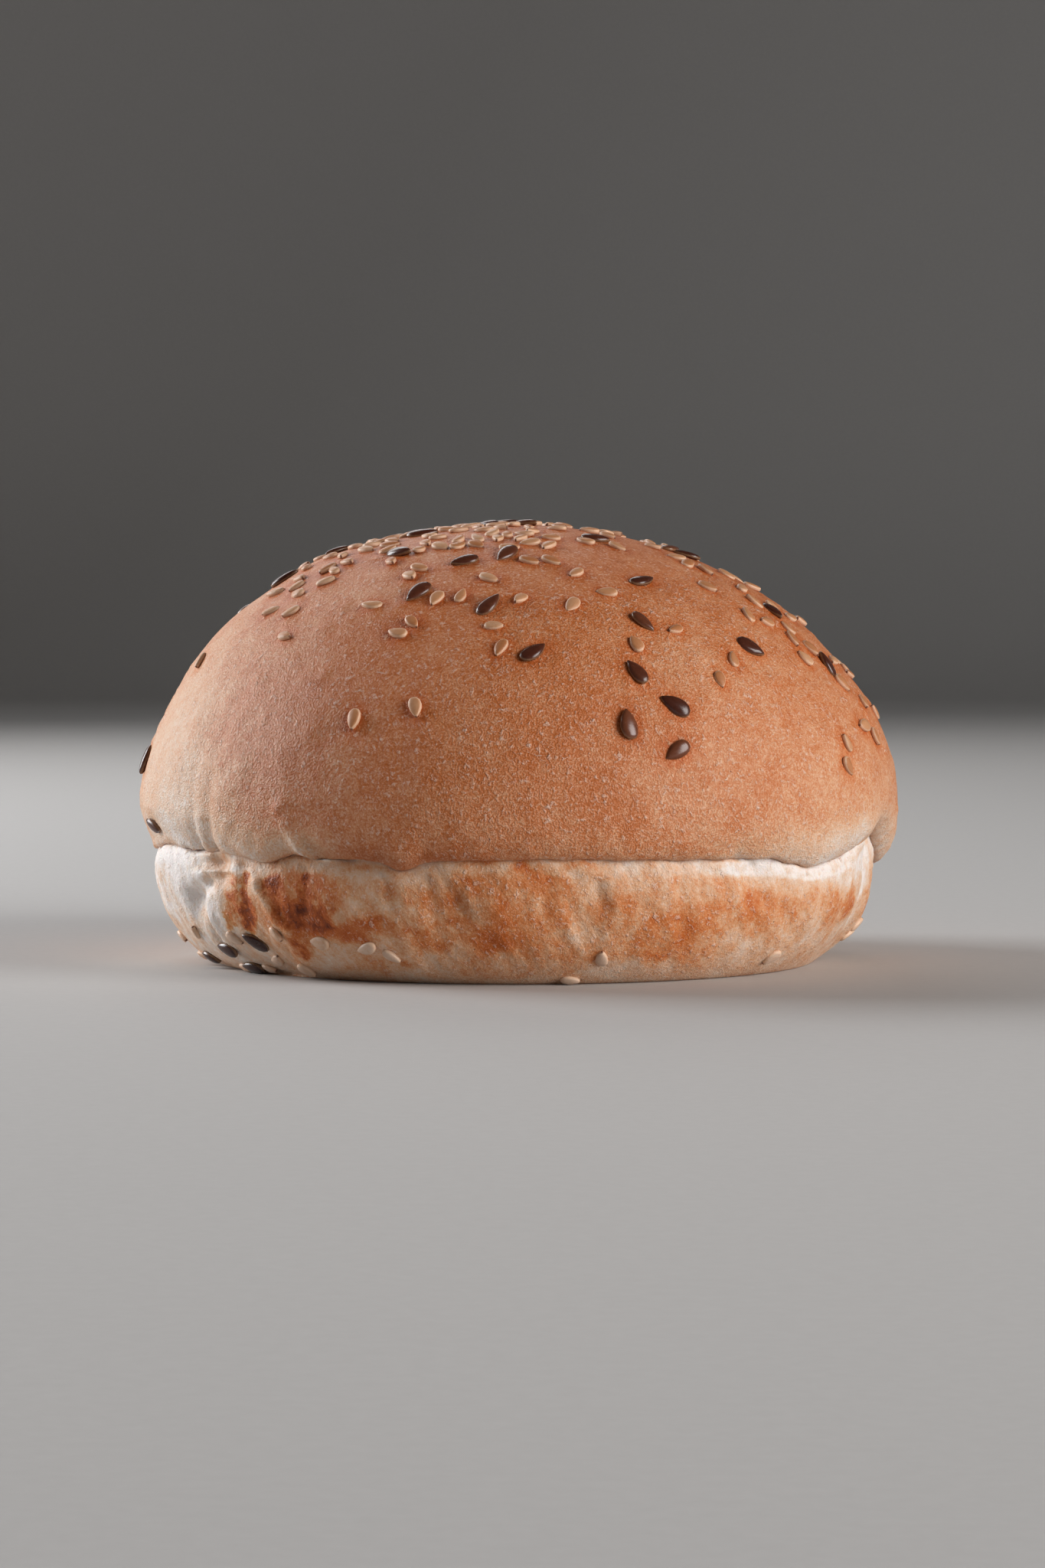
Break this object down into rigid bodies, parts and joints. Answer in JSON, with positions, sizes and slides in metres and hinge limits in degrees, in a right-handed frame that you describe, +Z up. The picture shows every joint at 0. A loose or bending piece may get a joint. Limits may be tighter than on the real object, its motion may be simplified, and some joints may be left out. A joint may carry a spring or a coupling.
{
  "type": "bread roll",
  "caption": "Round domed bread roll with a folded crease, a lower band and a flat base, its crust strewn with sesame and linseed.",
  "frame": {"origin": "centre of the flat base, on the surface the roll rests on", "axes": "+Z up through the crown, -Y towards the front of the roll, +X to its right"},
  "size_m": [0.1062, 0.1045, 0.0615],
  "materials": {
    "crust": "satin",
    "sesame_seed": "satin",
    "flax_seed": "gloss"
  },
  "bodies": {
    "root": {"roll": "crust"}
  },
  "joints": []
}
